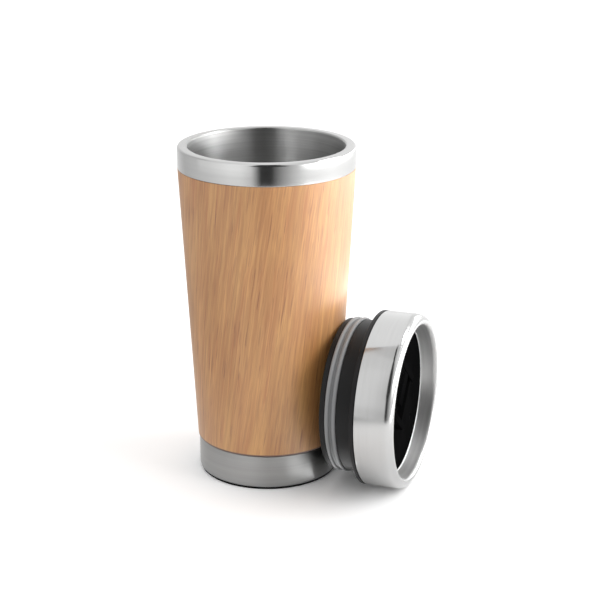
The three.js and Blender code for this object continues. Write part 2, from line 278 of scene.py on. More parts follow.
def block(size: Sequence[float], middle: Sequence[float]) -> BMesh:
    """Builds a straight block with sharp edges.

    Args:
        size: Length of each side.
        middle: Where its middle lies.

    Returns:
        The block.
    """
    mesh = bmesh.new()
    bmesh.ops.create_cube(mesh, size=1)
    bmesh.ops.scale(mesh, vec=size, verts=mesh.verts)
    bmesh.ops.translate(mesh, vec=middle, verts=mesh.verts)
    return mesh


def rounded(mesh: BMesh, edge: float) -> BMesh:
    """Rounds all the sharp edges of a block.

    Args:
        mesh: The block.
        edge: Radius of the edges.

    Returns:
        The same block, closed.
    """
    sharp = [item for item in mesh.edges if item.calc_face_angle(0.0) > SMOOTH_ANGLE]
    bmesh.ops.bevel(
        mesh, geom=sharp, offset=edge, segments=SOFT_STEPS, profile=0.5, affect="EDGES", material=-1,
        clamp_overlap=True,
    )
    return closed(mesh)


def held(mesh: BMesh, name: str) -> Object:
    """Puts a mesh into a linked object and frees it.

    Args:
        mesh: The mesh.
        name: The object's name.

    Returns:
        The object.
    """
    data = bpy.data.meshes.new(name)
    mesh.to_mesh(data)
    mesh.free()
    holder = bpy.data.objects.new(name, data)
    bpy.context.scene.collection.objects.link(holder)
    return holder


def joined(base: BMesh, tools: Iterable[BMesh], how: Join) -> BMesh:
    """Adds blocks to a piece or cuts them out of it, and closes the slits that this leaves.

    Args:
        base: The piece.
        tools: The blocks.
        how: Whether they are added or cut.

    Returns:
        The new piece.
    """
    for tool in tools:
        holder, other = held(base, "join_base"), held(tool, "join_tool")
        modifier = holder.modifiers.new("join", "BOOLEAN")
        modifier.object = other
        modifier.operation = how.value
        modifier.solver = "EXACT"
        base = bmesh.new()
        base.from_object(holder, bpy.context.evaluated_depsgraph_get())
        for spent in (holder, other):
            bpy.data.meshes.remove(spent.data)
        bmesh.ops.remove_doubles(base, verts=base.verts, dist=JOIN_DISTANCE)
        slits = [edge for edge in base.edges if edge.is_boundary]
        bmesh.ops.holes_fill(base, edges=slits, sides=CORNER_STEPS)
    return closed(base)


class Value:
    """A shader socket. Arithmetic on one that carries a number adds Math nodes."""

    def __init__(self, shader: "Shader", socket: NodeSocket) -> None:
        """Wraps an output socket of a node tree."""
        self.shader = shader
        self.socket = socket

    def __add__(self, other: "Value | float") -> "Value":
        """Sum."""
        return self.shader.math("ADD", self, other)

    def __radd__(self, other: float) -> "Value":
        """Sum, with the number first."""
        return self.shader.math("ADD", other, self)

    def __sub__(self, other: "Value | float") -> "Value":
        """Difference."""
        return self.shader.math("SUBTRACT", self, other)

    def __rsub__(self, other: float) -> "Value":
        """Difference, with the number first."""
        return self.shader.math("SUBTRACT", other, self)

    def __mul__(self, other: "Value | float") -> "Value":
        """Product."""
        return self.shader.math("MULTIPLY", self, other)

    def __rmul__(self, other: float) -> "Value":
        """Product, with the number first."""
        return self.shader.math("MULTIPLY", other, self)

    def __truediv__(self, other: "Value | float") -> "Value":
        """Quotient."""
        return self.shader.math("DIVIDE", self, other)

    def __rtruediv__(self, other: float) -> "Value":
        """Quotient, with the number first."""
        return self.shader.math("DIVIDE", other, self)

    def step(self, low: float, high: float) -> "Value":
        """Rises smoothly from 0 at low to 1 at high."""
        sockets = {"Value": self, "From Min": low, "From Max": high}
        return self.shader.node("ShaderNodeMapRange", {"interpolation_type": "SMOOTHSTEP"}, sockets, "Result")

    def above(self, low: float, soft: float = HEIGHT_SOFT) -> "Value":
        """1 above a level, with a soft edge."""
        return self.step(low - soft, low + soft)

    def between(self, low: float, high: float, soft: float = ANGLE_SOFT) -> "Value":
        """1 between two levels, with soft edges."""
        return self.above(low, soft) * (1 - self.above(high, soft))


Input = Value | float | tuple[float, ...]


class Shader:
    """The nodes of one material or of the world."""

    def __init__(self, owner: Material | bpy.types.World) -> None:
        """Clears an owner's nodes.

        Args:
            owner: The material or world.
        """
        owner.use_nodes = True
        self.tree = owner.node_tree
        self.tree.nodes.clear()

    def node(
        self, kind: str, settings: dict[str, object] | None = None,
        sockets: dict[str | int, Input] | None = None, out: str | int = 0,
    ) -> Value | None:
        """Adds a node.

        Args:
            kind: The node's type.
            settings: Its properties, or the stops of a ramp under "stops". They are set first.
            sockets: Its input sockets, by name or place, each a value or a link.
            out: The output that is handed back.

        Returns:
            That output, or nothing where the node has none.
        """
        node = self.tree.nodes.new(kind)
        for name, setting in (settings or {}).items():
            if name == "stops":
                self.set_stops(node, setting)
            else:
                setattr(node, name, setting)
        for name, given in (sockets or {}).items():
            socket = node.inputs[name]
            if isinstance(given, Value):
                self.tree.links.new(given.socket, socket)
            else:
                socket.default_value = (*given, 1.0) if socket.type == "RGBA" and len(given) == 3 else given
        return Value(self, node.outputs[out]) if node.outputs else None

    @staticmethod
    def set_stops(node: bpy.types.Node, stops: Sequence[tuple[float, Colour]]) -> None:
        """Sets the stops of a colour ramp.

        Args:
            node: The ramp's node.
            stops: Place and colour of each stop, in order.
        """
        elements = node.color_ramp.elements
        while len(elements) < len(stops):
            elements.new(1.0)
        for element, (place, colour) in zip(elements, stops):
            element.position = place
            element.color = (*colour, 1.0)

    def math(self, operation: str, *terms: Value | float) -> Value:
        """A Math node's result on one, two or three terms."""
        return self.node("ShaderNodeMath", {"operation": operation}, dict(enumerate(terms)))

    def distance(self, a: Value, b: Value) -> Value:
        """Distance of a point from the origin of its plane."""
        return self.math("SQRT", a * a + b * b)

    def vector(self, x: Value | float, y: Value | float, z: Value | float) -> Value:
        """Three numbers as a vector."""
        return self.node("ShaderNodeCombineXYZ", None, {"X": x, "Y": y, "Z": z})

    def split(self, vector: Value) -> tuple[Value, ...]:
        """X, Y and Z of a vector."""
        node = self.node("ShaderNodeSeparateXYZ", None, {"Vector": vector}).socket.node
        return tuple(Value(self, output) for output in node.outputs)

    def place(self, offset: Sequence[float] = (0.0, 0.0, 0.0), turn: float = 0.0) -> tuple[Value, ...]:
        """Adds Object coordinates, moved and then turned about Z.

        Args:
            offset: What is added to each coordinate, in metres.
            turn: The turn about Z, in radians.

        Returns:
            X, Y and Z in metres.
        """
        coordinates = self.node("ShaderNodeTexCoord", None, None, "Object")
        sockets = {"Vector": coordinates, "Location": tuple(offset), "Rotation": (0.0, 0.0, turn)}
        return self.split(self.node("ShaderNodeMapping", {"vector_type": "POINT"}, sockets))

    def noise(self, vector: Value, scale: float = 1.0, detail: float = 2.0, rough: float = 0.5) -> Value:
        """A noise about 0.5 at a place, by its frequency, its octaves and how much each octave adds."""
        sockets = {"Vector": vector, "Scale": scale, "Detail": detail, "Roughness": rough}
        return self.node("ShaderNodeTexNoise", {"noise_dimensions": "3D"}, sockets, "Fac")

    def blend(
        self, amount: Value | float, low: Value | Colour, high: Value | Colour, kind: str = "MIX",
    ) -> Value:
        """Two colours mixed, by the share of the second one and how they are mixed."""
        settings = {"data_type": "RGBA", "blend_type": kind}
        return self.node("ShaderNodeMix", settings, {"Factor": amount, 6: low, 7: high}, 2)

    def ramp(self, place: Value, stops: Sequence[tuple[float, Colour]]) -> Value:
        """The colour of a ramp at a place from 0 to 1."""
        return self.node("ShaderNodeValToRGB", {"stops": stops}, {"Fac": place})

    def bump(self, height: Value, strength: float, depth: float) -> Value:
        """The normal of a relief whose height runs from 0 to 1 and whose full depth is in metres."""
        return self.node("ShaderNodeBump", None, {"Height": height, "Strength": strength, "Distance": depth})

    def surface(self, **sockets: Input) -> None:
        """Adds the Principled shader, its inputs named in lower case with underscores, and the output."""
        names = {name: name.replace("_", " ").title().replace("Ior", "IOR") for name in sockets}
        self.end("ShaderNodeBsdfPrincipled", {names[name]: given for name, given in sockets.items()})

    def end(self, kind: str, sockets: dict[str | int, Input]) -> None:
        """Adds the last shader and the material's output."""
        self.node("ShaderNodeOutputMaterial", None, {"Surface": self.node(kind, None, sockets)})


@dataclass(frozen=True)
class Lid:
    """Where the lid stands: its axis runs along +X from the lower edge of its steel ring."""

    edge: float
    axis_height: float

    @classmethod
    def from_frame(cls) -> "Lid":
        """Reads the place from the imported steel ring."""
        low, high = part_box("lid_ring")
        return cls(low.x, (low.z + high.z) / 2)

    def place(self, turn: float = 0.0) -> Matrix:
        """The matrix, in metres, from a piece's own axis to where it stands, turned by some degrees."""
        move = Matrix.Translation((self.edge, 0, self.axis_height))
        return move @ Matrix.Rotation(math.radians(90), 4, "Y") @ Matrix.Rotation(math.radians(turn), 4, "Z")


LID = Lid.from_frame()


@dataclass(frozen=True)
class Finish:
    """A finish, which paints a material of its own name."""

    name: str

    def material(self) -> Material:
        """Builds the material.

        Returns:
            The material.
        """
        material = bpy.data.materials.new(self.name)
        self.paint(Shader(material))
        return material

    def paint(self, shader: Shader) -> None:
        """Adds the nodes of the finish, which each kind has for itself."""
        raise NotImplementedError


@dataclass(frozen=True)
class BrushedSteel(Finish):
    """Steel with fine marks that run round the piece's axis."""

    tint: Colour
    depth: float
    roughness: float
    spread: float
    streaks: float
    relief: float
    axis: Axis = Axis.MUG
    anisotropy: float = 0.0
    round_scale: float = 14.0
    cloud_scale: float = 40.0
    mark_share: float = 0.7
    shades: Range = (0.3, 0.7)
    relief_depth: float = 0.02 * MM

    def paint(self, shader: Shader) -> None:
        """Adds the nodes.

        Args:
            shader: The material's nodes.
        """
        if self.axis is Axis.MUG:
            across, through, along = shader.place()
        else:
            along, across, through = shader.place((-LID.edge, 0, -LID.axis_height))
        track = (along + shader.distance(across, through)) * self.streaks
        around = shader.vector(across * self.round_scale, through * self.round_scale, track)
        marks = shader.noise(around, detail=3.0, rough=0.65)
        clouds = shader.noise(shader.vector(across, through, along), self.cloud_scale)
        shade = marks * self.mark_share + clouds * (1 - self.mark_share)
        dark = tuple(channel * self.depth for channel in self.tint)
        shader.surface(
            base_color=shader.blend(shade.step(*self.shades), dark, self.tint),
            metallic=1.0,
            roughness=self.roughness + (shade - 0.5) * self.spread,
            anisotropic=self.anisotropy,
            anisotropic_rotation=0.25,
            normal=shader.bump(marks, self.relief, self.relief_depth),
        )


@dataclass(frozen=True)
class Grain:
    """A noise drawn out along the wood: its frequencies across and along, and the range of its marks."""

    across: float
    along: float
    seed: float = 0.0
    detail: float = 2.0
    rough: float = 0.5
    edges: Range = (0.0, 1.0)

    def read(self, shader: Shader, across: Value, along: Value) -> Value:
        """The noise at a place on the flat veneer, a number about 0.5."""
        where = shader.vector(across * self.across, along * self.along, self.seed)
        return shader.noise(where, detail=self.detail, rough=self.rough)

    def mark(self, shader: Shader, across: Value, along: Value) -> Value:
        """The mark at a place on the flat veneer, 0 outside it and 1 in it."""
        return self.read(shader, across, along).step(*self.edges)


@dataclass(frozen=True)
class Bamboo(Finish):
    """Lacquered bamboo veneer, cut flat and wrapped round the cone, with its grain a little aslant."""

    foot: float
    slope: float
    slant: float = math.radians(7.5)
    front: float = math.radians(-70)
    pale: Colour = (0.65, 0.325, 0.093)
    middle: Colour = (0.5, 0.22, 0.051)
    dark: Colour = (0.41, 0.15, 0.024)
    streak: Colour = (0.44, 0.135, 0.018)
    pore: Colour = (0.25, 0.07, 0.01)
    # Painted shade: a dark band laid on the sleeve's lower edge, standing for the shadow in the seam where it
    # meets the base
    seam_shade: Colour = (0.1, 0.028, 0.004)
    rosy: Colour = (1.02, 0.975, 0.96)
    golden: Colour = (1.01, 1.02, 0.98)
    dark_stop: float = 0.36
    middle_stop: float = 0.49
    pale_stop: float = 0.61
    sway: Grain = Grain(26, 12)
    sway_reach: float = 2.5 * MM
    ripple: Grain = Grain(200, 70, 5)
    ripple_reach: float = 0.5 * MM
    tone: Grain = Grain(90, 15)
    tone_share: float = 0.3
    bands: Grain = Grain(600, 18, 3, detail=4, rough=0.65)
    band_share: float = 0.44
    fibres: Grain = Grain(2000, 42, 7, rough=0.6)
    fibre_share: float = 0.26
    hue: Grain = Grain(150, 8, 31, detail=3, rough=0.6, edges=(0.36, 0.64))
    flecks: Grain = Grain(800, 21, 17, edges=(0.54, 0.68))
    fleck_share: float = 0.4
    streaks: Grain = Grain(950, 24, 11, edges=(0.57, 0.64))
    streak_share: float = 0.5
    pores: Grain = Grain(1400, 56, 23, detail=1, edges=(0.57, 0.64))
    pore_share: float = 0.7
    lone_pores: float = 0.4
    seam_shade_low: float = 0.6 * MM
    seam_shade_high: float = 1.1 * MM
    roughness: float = 0.56
    fibre_roughness: float = 0.16
    pore_roughness: float = 0.12
    relief: float = 0.35
    relief_depth: float = 0.08 * MM

    def paint(self, shader: Shader) -> None:
        """Adds the nodes.

        Args:
            shader: The material's nodes.
        """
        across, along, height = self.flat_place(shader)
        sway = self.sway.read(shader, across, along) - 0.5
        ripple = self.ripple.read(shader, across, along) - 0.5
        where = (shader, across + sway * self.sway_reach + ripple * self.ripple_reach, along)
        fibres = self.fibres.read(*where)
        streaks = self.streaks.mark(*where)
        open_grain = self.pores.mark(*where) * (self.lone_pores + streaks * (1 - self.lone_pores))
        shade = self.tone.read(*where) * self.tone_share + self.bands.read(*where) * self.band_share
        stops = ((self.dark_stop, self.dark), (self.middle_stop, self.middle), (self.pale_stop, self.pale))
        wood = shader.ramp(shade + fibres * self.fibre_share, stops)
        hue = shader.blend(self.hue.mark(*where), self.rosy, self.golden)
        wood = shader.blend(1.0, wood, hue, "MULTIPLY")
        wood = shader.blend(self.flecks.mark(*where) * self.fleck_share, wood, self.pale)
        wood = shader.blend(streaks * self.streak_share, wood, self.streak)
        wood = shader.blend(open_grain * self.pore_share, wood, self.pore)
        # Painted shade along the lower edge, where the sleeve meets the steel base
        seam_shade = 1 - height.step(self.foot + self.seam_shade_low, self.foot + self.seam_shade_high)
        uneven = (fibres - 0.5) * self.fibre_roughness + open_grain * self.pore_roughness
        shader.surface(
            base_color=shader.blend(seam_shade, wood, self.seam_shade),
            roughness=self.roughness + uneven,
            specular_ior_level=0.45,
            coat_weight=1.0,
            coat_roughness=0.55,
            coat_ior=1.85,
            normal=shader.bump((fibres + 1 - open_grain) / 2, self.relief, self.relief_depth),
        )

    def flat_place(self, shader: Shader) -> tuple[Value, Value, Value]:
        """Unrolls the cone.

        Args:
            shader: The material's nodes.

        Returns:
            Distance across the grain and along it, and the height, in metres.
        """
        x, y, z = shader.place(turn=-self.front)
        reach = shader.distance(x, y) / self.slope
        turn = shader.math("ARCTAN2", y, x) * self.slope
        sideways = reach * shader.math("SINE", turn)
        upwards = z + reach * (1 - shader.math("COSINE", turn))
        across = sideways * math.cos(self.slant) - upwards * math.sin(self.slant)
        along = sideways * math.sin(self.slant) + upwards * math.cos(self.slant)
        return across, along, z


@dataclass(frozen=True)
class Moulded(Finish):
    """Plastic, rubber or silicone with the fine grain of its mould."""

    tint: Colour
    roughness: float
    grain: float
    relief: float
    shine: float
    glow: float = 0.0
    cloud_scale: float = 60.0
    clouds: Range = (0.35, 0.7)
    cloud_tint: float = 1.25
    cloud_lift: float = 0.001
    cloud_roughness: float = 0.14
    grain_roughness: float = 0.1
    relief_depth: float = 0.05 * MM

    def paint(self, shader: Shader) -> None:
        """Adds the nodes.

        Args:
            shader: The material's nodes.
        """
        where = shader.vector(*shader.place())
        grain = shader.noise(where, self.grain, detail=3.0, rough=0.6)
        clouds = shader.noise(where, self.cloud_scale)
        lighter = tuple(min(1.0, channel * self.cloud_tint + self.cloud_lift) for channel in self.tint)
        uneven = (clouds - 0.5) * self.cloud_roughness + (grain - 0.5) * self.grain_roughness
        shader.surface(
            base_color=shader.blend(clouds.step(*self.clouds), self.tint, lighter),
            roughness=self.roughness + uneven,
            specular_ior_level=self.shine,
            subsurface_weight=self.glow,
            subsurface_scale=2 * MM,
            normal=shader.bump(grain, self.relief, self.relief_depth),
        )


@dataclass(frozen=True)
class ClearRing(Finish):
    """Clear silicone over black plastic, which shows through where the ring is thin; the darker waist also
    paints the shade in the groove between the lips.
    """

    waist: float
    thick: Colour = (0.27, 0.275, 0.28)
    thin_shaded_waist: Colour = (0.15, 0.153, 0.157)
    rise: float = 0.25 * MM
    cloud_scale: float = 120.0
    roughness: float = 0.34
    cloud_roughness: float = 0.16
    relief: float = 0.05
    relief_depth: float = 0.05 * MM

    def paint(self, shader: Shader) -> None:
        """Adds the nodes.

        Args:
            shader: The material's nodes.
        """
        x, y, z = shader.place((0, 0, -LID.axis_height))
        # Painted shade in part: the waist between the lips is darker, partly for the black showing through
        # and partly for the shade of the groove
        lip_share = shader.distance(y, z).step(self.waist, self.waist + self.rise)
        clouds = shader.noise(shader.vector(x, y, z), self.cloud_scale)
        shader.surface(
            base_color=shader.blend(lip_share, self.thin_shaded_waist, self.thick),
            roughness=self.roughness + (clouds - 0.5) * self.cloud_roughness,
            specular_ior_level=0.4,
            normal=shader.bump(clouds, self.relief, self.relief_depth),
        )


# Steel by tint, depth of its dark marks, roughness and its spread, marks per metre, and relief
POLISHED_STEEL = BrushedSteel("polished_steel", (0.63, 0.63, 0.625), 0.96, 0.12, 0.02, 700, 0.01)
TURNED_STEEL = BrushedSteel("turned_steel", (0.56, 0.56, 0.556), 0.8, 0.36, 0.14, 1300, 0.12, anisotropy=0.9)
# Painted shade: the base's tint is set far below the other steel to stand for the dim, shadowed floor that it
# reflects; its satin finish is real
BASE_STEEL = BrushedSteel("satin_base", (0.36, 0.36, 0.357), 0.9, 0.36, 0.06, 900, 0.04, anisotropy=0.75)
PLAIN_STEEL = BrushedSteel("plain_steel", (0.62, 0.62, 0.61), 0.86, 0.4, 0.1, 400, 0.1)
RING_STEEL = BrushedSteel("satin_ring", (0.51, 0.51, 0.507), 0.96, 0.17, 0.04, 800, 0.015, Axis.LID)
LINING_STEEL = BrushedSteel("satin_lining", (0.5, 0.5, 0.497), 0.84, 0.4, 0.1, 600, 0.08, Axis.LID)
# Mouldings by tint, roughness, grain per metre, relief and shine
BLACK_PLASTIC = Moulded("black_plastic", (0.01, 0.01, 0.0104), 0.42, 1500, 0.1, 0.18)
# Painted shade in part: this unshiny black is darker than the outside black, so that the recess floor and
# slide read as deep shade
MATT_PLASTIC = Moulded("matt_black_plastic", (0.004, 0.004, 0.0042), 0.75, 1800, 0.2, 0.0)
CLEAR_SILICONE = Moulded("clear_silicone", (0.3, 0.305, 0.31), 0.4, 900, 0.04, 0.3, glow=0.15)
FOOT_RUBBER = Moulded("foot_rubber", grey(0.006), 0.8, 2600, 0.3, 0.1)


@dataclass(frozen=True)
class Piece:
    """What a finished piece is: its name, the node that it stands for, its body, and its material slot, which
    nothing reads.
    """

    name: str
    node: str
    body: str
    slot: str

    def finish(self, mesh: BMesh, place: Matrix, finishes: Sequence[Material]) -> None:
        """Puts a mesh in place and dresses it.

        Args:
            mesh: The piece, in millimetres about its own axis.
            place: Where it goes, in metres.
            finishes: Its materials.
        """
        bmesh.ops.transform(mesh, matrix=place @ Matrix.Scale(MM, 4), verts=mesh.verts)
        piece = held(mesh, self.name)
        for material in finishes:
            piece.data.materials.append(material)
        piece.data.shade_smooth()
        piece.data.set_sharp_from_angle(angle=SMOOTH_ANGLE)
        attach(piece, self.body)
        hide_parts(self.node)
        LOG.info("%s: %d faces, for %s on %s", self.name, len(piece.data.polygons), self.node, self.body)


@dataclass(frozen=True)
class Mug:
    """The mug: steel liner with its rim band, bamboo sleeve, steel base and foot."""

    height: float
    rim_radius: float
    base_radius: float
    base_height: float
    foot_radius: float
    wall: float = 0.6
    gap: float = 0.3
    lip_width: float = 5.2
    lip_outer_round: float = 1.2
    lip_inner_round: float = 0.9
    band_height: float = 10.8
    hem_round: float = 0.25
    mouth_depth: float = 20.0
    cup_corner: float = 9.0
    air_gap: float = 3.0
    sleeve_wall: float = 2.0
    sleeve_tongue: float = 4.0
    sleeve_proud: float = 0.6
    sleeve_edge: float = 0.4
    sleeve_top_edge: float = 0.12
    sleeve_seam: float = 0.1
    base_round: float = 1.4
    base_edge: float = 0.25
    foot_thickness: float = 1.8
    foot_stand: float = 1.0
    foot_edge: float = 0.2
    foot_lap: float = 0.9
    foot_seam: float = 0.1
    groove_pitch: float = 4.0
    groove_width: float = 1.4
    groove_depth: float = 0.5
    groove_count: int = 6

    @classmethod
    def from_frame(cls) -> "Mug":
        """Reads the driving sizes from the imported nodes."""
        cup, base, foot = (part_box(name)[1] / MM for name in ("inner_cup", "base_cup", "foot_pad"))
        return cls(cup.z, cup.x, base.x, base.z, foot.x)

    @property
    def band_bottom(self) -> float:
        """Height of the lower edge of the rim band."""
        return self.height - self.band_height

    @property
    def dish(self) -> float:
        """Height of the recess over the foot."""
        return self.foot_thickness + self.gap

    @property
    def neck_radius(self) -> float:
        """Radius of the hidden outer wall inside the base."""
        return self.base_radius - self.wall - self.gap

    @property
    def sleeve_bottom(self) -> float:
        """Height of the lower edge of the sleeve."""
        return self.base_height + self.gap

    @property
    def sleeve_slope(self) -> float:
        """Sine of the sleeve's taper."""
        spread = self.rim_radius - self.base_radius - self.sleeve_proud
        return spread / math.hypot(self.band_bottom - self.base_height - 2 * self.gap, spread)

    def build(self) -> None:
        """Builds and dresses every piece of the mug."""
        bamboo = Bamboo("bamboo_veneer", self.sleeve_bottom * MM, self.sleeve_slope)
        steels = (POLISHED_STEEL, TURNED_STEEL)
        pieces = (
            (Piece("liner_cup", "inner_cup", "mug", "polished_steel"), self.liner, steels),
            (Piece("bamboo_wrap", "bamboo_sleeve", "mug", "bamboo"), self.sleeve, (bamboo,)),
            (Piece("base_cap", "base_cup", "mug", "satin_steel"), self.base, (BASE_STEEL,)),
            (Piece("foot_disc", "foot_pad", "mug", "foot_rubber"), self.foot, (FOOT_RUBBER,)),
        )
        for piece, shape, finishes in pieces:
            piece.finish(shape(), Matrix(), [finish.material() for finish in finishes])
        plain = PLAIN_STEEL.material()
        for name in ("outer_shell", "shell_floor"):
            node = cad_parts[name]
            node.data.materials.clear()
            node.data.materials.append(plain)
            LOG.info("%s: packed node, dressed", name)

    def liner(self) -> BMesh:
        """Builds the liner cup with its lip and band.

        Returns:
            The cup, its inside marked as turned steel.
        """
        mouth = self.rim_radius - self.lip_width
        mouth_bottom = self.height - self.mouth_depth
        bottom = self.dish + self.wall + self.gap + self.wall + self.air_gap
        corner = self.neck_radius - self.wall - self.air_gap - self.cup_corner
        corner_height = bottom + self.cup_corner
        round_axis = self.rim_radius - self.lip_outer_round
        round_base = self.height - self.lip_outer_round
        inner_axis = mouth + self.lip_inner_round
        hem_axis = self.rim_radius - self.hem_round
        outline = Outline(0, bottom).line(corner, bottom).arc(corner, corner_height, 90)
        outline.line(mouth + self.wall, mouth_bottom).line(mouth + self.wall, self.height - self.wall)
        outline.line(round_axis, self.height - self.wall).arc(round_axis, round_base, -90)
        outline.line(self.rim_radius - self.wall, self.band_bottom).line(hem_axis, self.band_bottom)
        outline.arc(hem_axis, self.band_bottom + self.hem_round, 90, EDGE_STEPS)
        outline.line(self.rim_radius, round_base).arc(round_axis, round_base, 90)
        outline.line(inner_axis, self.height).arc(inner_axis, self.height - self.lip_inner_round, 90)
        outline.line(mouth, mouth_bottom).line(corner + self.cup_corner - self.wall, corner_height)
        outline.arc(corner, corner_height, -90).line(0, bottom + self.wall)
        mesh = outline.turned()
        for face in mesh.faces:
            middle = face.calc_center_median()
            inside = middle.xy.length < round_axis and face.normal.xy.dot(middle.xy) <= 0
            face.material_index = (Steel.TURNED if inside else Steel.POLISHED).value
        return mesh

    def sleeve(self) -> BMesh:
        """Builds the bamboo sleeve with its tongue.

        Returns:
            The sleeve.
        """
        low = self.sleeve_bottom
        high = self.band_bottom - self.sleeve_seam
        foot = self.base_radius + self.sleeve_proud
        bore = self.neck_radius + self.gap
        bore_top = self.rim_radius - self.sleeve_wall
        tongue = self.rim_radius - self.wall - self.gap
        tongue_top = self.band_bottom + self.sleeve_tongue
        top_round = high - self.sleeve_top_edge
        outline = Outline(bore, low).line(foot - self.sleeve_edge, low)
        outline.arc(foot - self.sleeve_edge, low + self.sleeve_edge, 90, EDGE_STEPS)
        outline.line(self.rim_radius, top_round)
        outline.arc(self.rim_radius - self.sleeve_top_edge, top_round, 90, SOFT_STEPS)
        outline.line(tongue, high).line(tongue, tongue_top).line(bore_top, tongue_top)
        return outline.line(bore_top, high).line(bore, low).turned()

    def base(self) -> BMesh:
        """Builds the steel base with its rounded lower edge and the recess for the foot.

        Returns:
            The base.
        """
        recess = self.foot_radius + self.gap
        inside = self.base_radius - self.wall
        axis = self.base_radius - self.base_round
        round_top = self.foot_stand + self.base_round
        edge = self.foot_stand + self.base_edge
        top_edge = self.base_height - self.base_edge
        outline = Outline(0, self.dish).line(recess, self.dish).line(recess, edge)
        outline.arc(recess + self.base_edge, edge, 90, EDGE_STEPS)
        outline.line(axis, self.foot_stand).arc(axis, round_top, 90)
        outline.line(self.base_radius, top_edge)
        outline.arc(self.base_radius - self.base_edge, top_edge, 90, EDGE_STEPS)
        outline.line(inside, self.base_height).line(inside, round_top).arc(axis, round_top, -90)
        outline.line(recess + self.wall, self.foot_stand + self.wall)
        outline.line(recess + self.wall, self.dish + self.wall)
        return outline.line(0, self.dish + self.wall).turned()

    def foot(self) -> BMesh:
        """Builds the foot disc, lapped under the base, with rings of grooves underneath.

        Returns:
            The foot.
        """
        slope = self.groove_depth / 2
        outline = Outline(0, 0)
        for ring in range(1, self.groove_count + 1):
            start = ring * self.groove_pitch
            end = start + self.groove_width
            outline.line(start, 0).line(start + slope, self.groove_depth)
            outline.line(end - slope, self.groove_depth).line(end, 0)
        lap = self.base_radius - self.foot_lap
        axis = lap - self.foot_edge
        lap_top = self.foot_stand - self.foot_seam
        outline.line(axis, 0).arc(axis, self.foot_edge, 90, EDGE_STEPS)
        outline.line(lap, lap_top).line(self.foot_radius, lap_top)
        return outline.line(self.foot_radius, self.foot_thickness).line(0, self.foot_thickness).turned()


